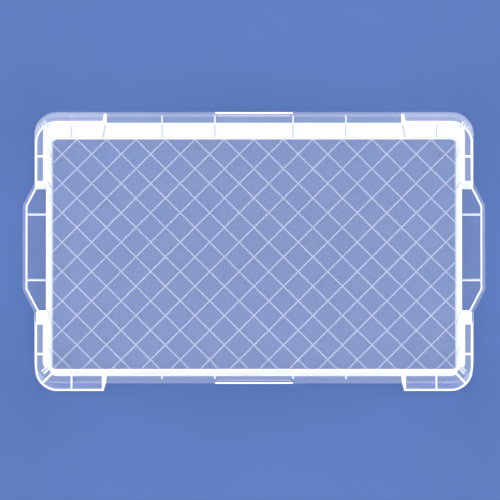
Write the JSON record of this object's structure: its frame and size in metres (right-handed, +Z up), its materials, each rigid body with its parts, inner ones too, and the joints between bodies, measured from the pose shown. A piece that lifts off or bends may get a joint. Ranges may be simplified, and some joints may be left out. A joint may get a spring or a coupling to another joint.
{
  "type": "under bed storage box",
  "caption": "Low, open storage box of clear plastic for under a bed, with a wide stiffened rim, hollow corner columns for stacking and a handle at each end.",
  "frame": {"origin": "on the floor, under the middle of the box", "axes": "+X along the length towards one handle, +Y across the width, +Z up"},
  "size_m": [0.7204, 0.4244, 0.165],
  "materials": {
    "clear_plastic": "clear moulded polypropylene, slightly milky, glossy faces"
  },
  "bodies": {
    "root": {"base_panel": "clear_plastic", "base_grid": "clear_plastic", "wall_front": "clear_plastic", "wall_back": "clear_plastic", "wall_left": "clear_plastic", "wall_right": "clear_plastic", "wall_corner_front_left": "clear_plastic", "wall_corner_front_right": "clear_plastic", "wall_corner_back_left": "clear_plastic", "wall_corner_back_right": "clear_plastic", "rim_front": "clear_plastic", "rim_back": "clear_plastic", "rim_end_front_left": "clear_plastic", "rim_end_front_right": "clear_plastic", "rim_end_back_left": "clear_plastic", "rim_end_back_right": "clear_plastic", "rim_corner_front_left": "clear_plastic", "rim_corner_front_right": "clear_plastic", "rim_corner_back_left": "clear_plastic", "rim_corner_back_right": "clear_plastic", "handle_top_left": "clear_plastic", "handle_top_right": "clear_plastic", "handle_grip_left": "clear_plastic", "handle_grip_right": "clear_plastic", "handle_shoulder_front_left": "clear_plastic", "handle_shoulder_front_right": "clear_plastic", "handle_shoulder_back_left": "clear_plastic", "handle_shoulder_back_right": "clear_plastic", "handle_ribs_left": "clear_plastic", "handle_ribs_right": "clear_plastic", "column_long_front_left": "clear_plastic", "column_long_front_right": "clear_plastic", "column_long_back_left": "clear_plastic", "column_long_back_right": "clear_plastic", "column_short_front_left": "clear_plastic", "column_short_front_right": "clear_plastic", "column_short_back_left": "clear_plastic", "column_short_back_right": "clear_plastic", "column_corner_front_left": "clear_plastic", "column_corner_front_right": "clear_plastic", "column_corner_back_left": "clear_plastic", "column_corner_back_right": "clear_plastic", "column_ribs_front_left": "clear_plastic", "column_ribs_front_right": "clear_plastic", "column_ribs_back_left": "clear_plastic", "column_ribs_back_right": "clear_plastic", "corner_brace_front_left": "clear_plastic", "corner_brace_front_right": "clear_plastic", "corner_brace_back_left": "clear_plastic", "corner_brace_back_right": "clear_plastic", "grip_bead_front": "clear_plastic", "grip_bead_back": "clear_plastic", "gussets_front": "clear_plastic", "gussets_back": "clear_plastic"}
  },
  "joints": []
}
